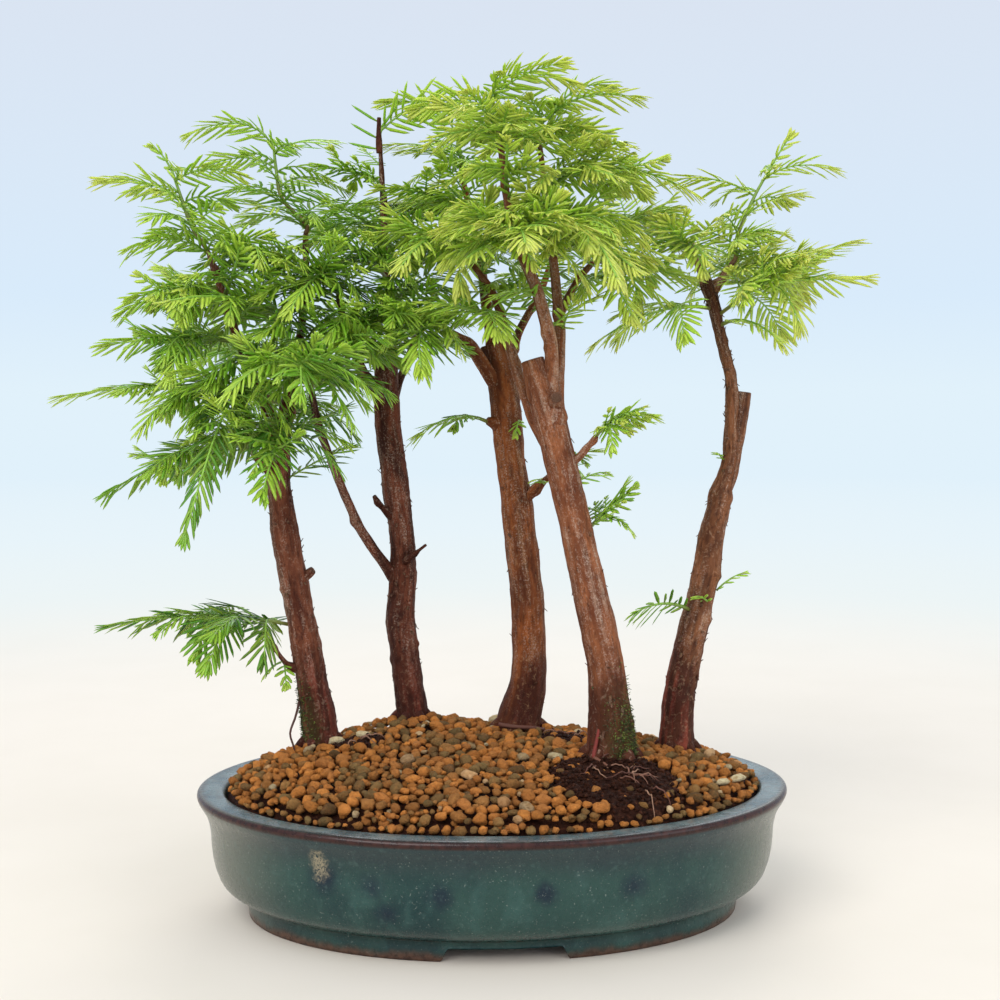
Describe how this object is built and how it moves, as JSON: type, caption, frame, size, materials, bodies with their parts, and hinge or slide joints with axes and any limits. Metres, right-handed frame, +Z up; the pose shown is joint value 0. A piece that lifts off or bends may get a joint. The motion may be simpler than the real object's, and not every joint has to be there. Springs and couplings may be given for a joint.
{
  "type": "dawn redwood bonsai forest",
  "caption": "Bonsai forest of dawn redwoods with sawn trunks and feathery leafy stems, planted in soil under clay grit in an oval glazed tray.",
  "frame": {"origin": "centre of the whole planting's box, at the level of the tray's underside", "axes": "+Z up, +X along the tray's long axis to the right seen from the front, -Y towards the front"},
  "size_m": [0.31, 0.2052, 0.3161],
  "materials": {
    "glaze": "glossy mottled teal glaze over brown clay, with a pale blue rim",
    "soil": "damp dark brown soil, crumbly and matt",
    "grit": "matt ochre, orange, grey and cream clay grit",
    "bark": "matt red-brown fibrous bark with pale lichen",
    "leaf": "soft satin yellow-green to deep green needles",
    "screen": "matt black plastic mesh"
  },
  "bodies": {
    "root": {"drain_screen_left": "screen", "drain_screen_right": "screen", "grit": "grit", "leafy_back_a": "leaf", "leafy_back_b": "leaf", "leafy_back_c": "leaf", "leafy_back_d": "leaf", "leafy_back_e": "leaf", "leafy_back_f": "leaf", "leafy_back_g": "leaf", "leafy_back_h": "leaf", "leafy_back_top": "leaf", "leafy_front_a": "leaf", "leafy_front_b": "leaf", "leafy_front_c": "leaf", "leafy_front_d": "leaf", "leafy_front_e": "leaf", "leafy_front_f": "leaf", "leafy_front_g": "leaf", "leafy_front_h": "leaf", "leafy_front_second": "leaf", "leafy_front_top": "leaf", "leafy_left_a": "leaf", "leafy_left_b": "leaf", "leafy_left_c": "leaf", "leafy_left_d": "leaf", "leafy_left_e": "leaf", "leafy_left_f": "leaf", "leafy_left_g": "leaf", "leafy_left_h": "leaf", "leafy_left_i": "leaf", "leafy_left_j": "leaf", "leafy_left_k": "leaf", "leafy_left_l": "leaf", "leafy_left_low": "leaf", "leafy_left_m": "leaf", "leafy_left_tip": "leaf", "leafy_left_top": "leaf", "leafy_middle_a": "leaf", "leafy_middle_c": "leaf", "leafy_middle_d": "leaf", "leafy_middle_e": "leaf", "leafy_middle_g": "leaf", "leafy_middle_h": "leaf", "leafy_middle_top": "leaf", "leafy_right_a": "leaf", "leafy_right_b": "leaf", "leafy_right_c": "leaf", "leafy_right_d": "leaf", "leafy_right_e": "leaf", "leafy_right_f": "leaf", "leafy_right_low": "leaf", "leafy_right_top": "leaf", "soil": "soil", "tray": "glaze", "trunk_back": "bark", "trunk_front": "bark", "trunk_left": "bark", "trunk_middle": "bark", "trunk_right": "bark"}
  },
  "joints": []
}
